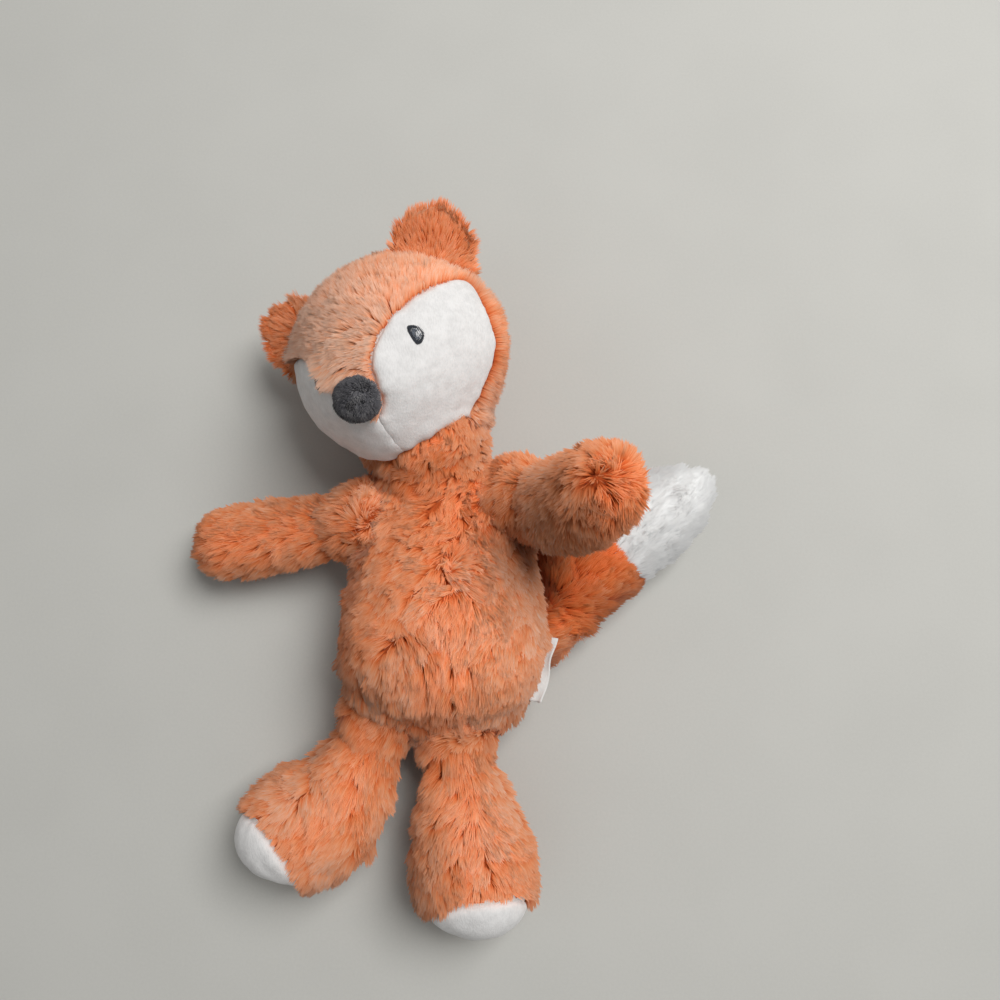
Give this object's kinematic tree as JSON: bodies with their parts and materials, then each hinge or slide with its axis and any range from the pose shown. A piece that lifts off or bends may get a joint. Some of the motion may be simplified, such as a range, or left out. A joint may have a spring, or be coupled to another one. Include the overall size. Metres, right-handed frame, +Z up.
{
  "type": "plush fox",
  "caption": "Stuffed fox lying on its back, of orange fur panels with white velour cheeks and soles, a plush nose and a white-tipped tail; head, ears, limbs and tail move.",
  "frame": {"origin": "on the table, under the middle of the back where it lies flat", "axes": "+Z up from the table through the belly, +Y along the torso towards the head, +X towards the fox's left side"},
  "size_m": [0.2287, 0.2929, 0.1108],
  "materials": {
    "orange_fur": "long polyester fur pile, orange",
    "white_fur": "long polyester fur pile, white",
    "white_velour": "short velour pile, white",
    "nose_plush": "short dense plush pile, dark grey",
    "eye_thread": "satin stitch embroidery, near black",
    "label_satin": "woven satin ribbon, white, bare",
    "polyester_filling": "loose white polyester fibre"
  },
  "bodies": {
    "torso": {"torso_front_panel": "orange_fur", "torso_back_panel": "orange_fur", "torso_filling": "polyester_filling", "care_label": "label_satin"},
    "arm_right": {"arm_right_front_panel": "orange_fur", "arm_right_back_panel": "orange_fur", "arm_right_filling": "polyester_filling"},
    "arm_left": {"arm_left_front_panel": "orange_fur", "arm_left_back_panel": "orange_fur", "arm_left_filling": "polyester_filling"},
    "leg_right": {"leg_right_front_panel": "orange_fur", "leg_right_back_panel": "orange_fur", "leg_right_sole": "white_velour", "leg_right_filling": "polyester_filling"},
    "leg_left": {"leg_left_front_panel": "orange_fur", "leg_left_back_panel": "orange_fur", "leg_left_sole": "white_velour", "leg_left_filling": "polyester_filling"},
    "tail": {"tail_cover": "orange_fur", "tail_tip_cover": "white_fur", "tail_filling": "polyester_filling"},
    "head": {"head_back_panel": "orange_fur", "cheek_left": "white_velour", "cheek_right": "white_velour", "blaze_panel": "orange_fur", "head_filling": "polyester_filling", "nose": "nose_plush", "eye_left": "eye_thread", "eye_right": "eye_thread"},
    "ear_left": {"ear_left_front_panel": "orange_fur", "ear_left_back_panel": "orange_fur"},
    "ear_right": {"ear_right_front_panel": "orange_fur", "ear_right_back_panel": "orange_fur"}
  },
  "joints": [
    {"name": "neck_turn", "type": "hinge", "parent": "torso", "child": "head", "pos_m": [-0.00842, 0.05324, 0.03791], "axis": [-0.3143, 0.9428, 0.111], "range_deg": [-12, 65]},
    {"name": "arm_right_swing", "type": "hinge", "parent": "torso", "child": "arm_right", "pos_m": [-0.0301, 0.0175, 0.029], "axis": [0, 1, 0], "range_deg": [0, 60]},
    {"name": "arm_left_swing", "type": "hinge", "parent": "torso", "child": "arm_left", "pos_m": [0.0301, 0.0255, 0.035], "axis": [0, 1, 0], "range_deg": [-8, 30]},
    {"name": "leg_right_swing", "type": "hinge", "parent": "torso", "child": "leg_right", "pos_m": [-0.02279, -0.058, 0.0255], "axis": [1, 0, 0], "range_deg": [-40, 0]},
    {"name": "leg_left_swing", "type": "hinge", "parent": "torso", "child": "leg_left", "pos_m": [0.00688, -0.065, 0.0255], "axis": [1, 0, 0], "range_deg": [-40, 0]},
    {"name": "tail_swing", "type": "hinge", "parent": "torso", "child": "tail", "pos_m": [0.03354, -0.033, 0.0165], "axis": [0, 0, 1], "range_deg": [-35, 3]},
    {"name": "ear_left_fold", "type": "hinge", "parent": "head", "child": "ear_left", "pos_m": [-0.00417, 0.12227, 0.05646], "axis": [0.985, -0.1451, -0.0931], "range_deg": [-20, 20], "stiffness_Nm_per_rad": 0.01},
    {"name": "ear_right_fold", "type": "hinge", "parent": "head", "child": "ear_right", "pos_m": [-0.06033, 0.0958, 0.03233], "axis": [-0.3215, -0.8597, -0.397], "range_deg": [-20, 20], "stiffness_Nm_per_rad": 0.01}
  ]
}
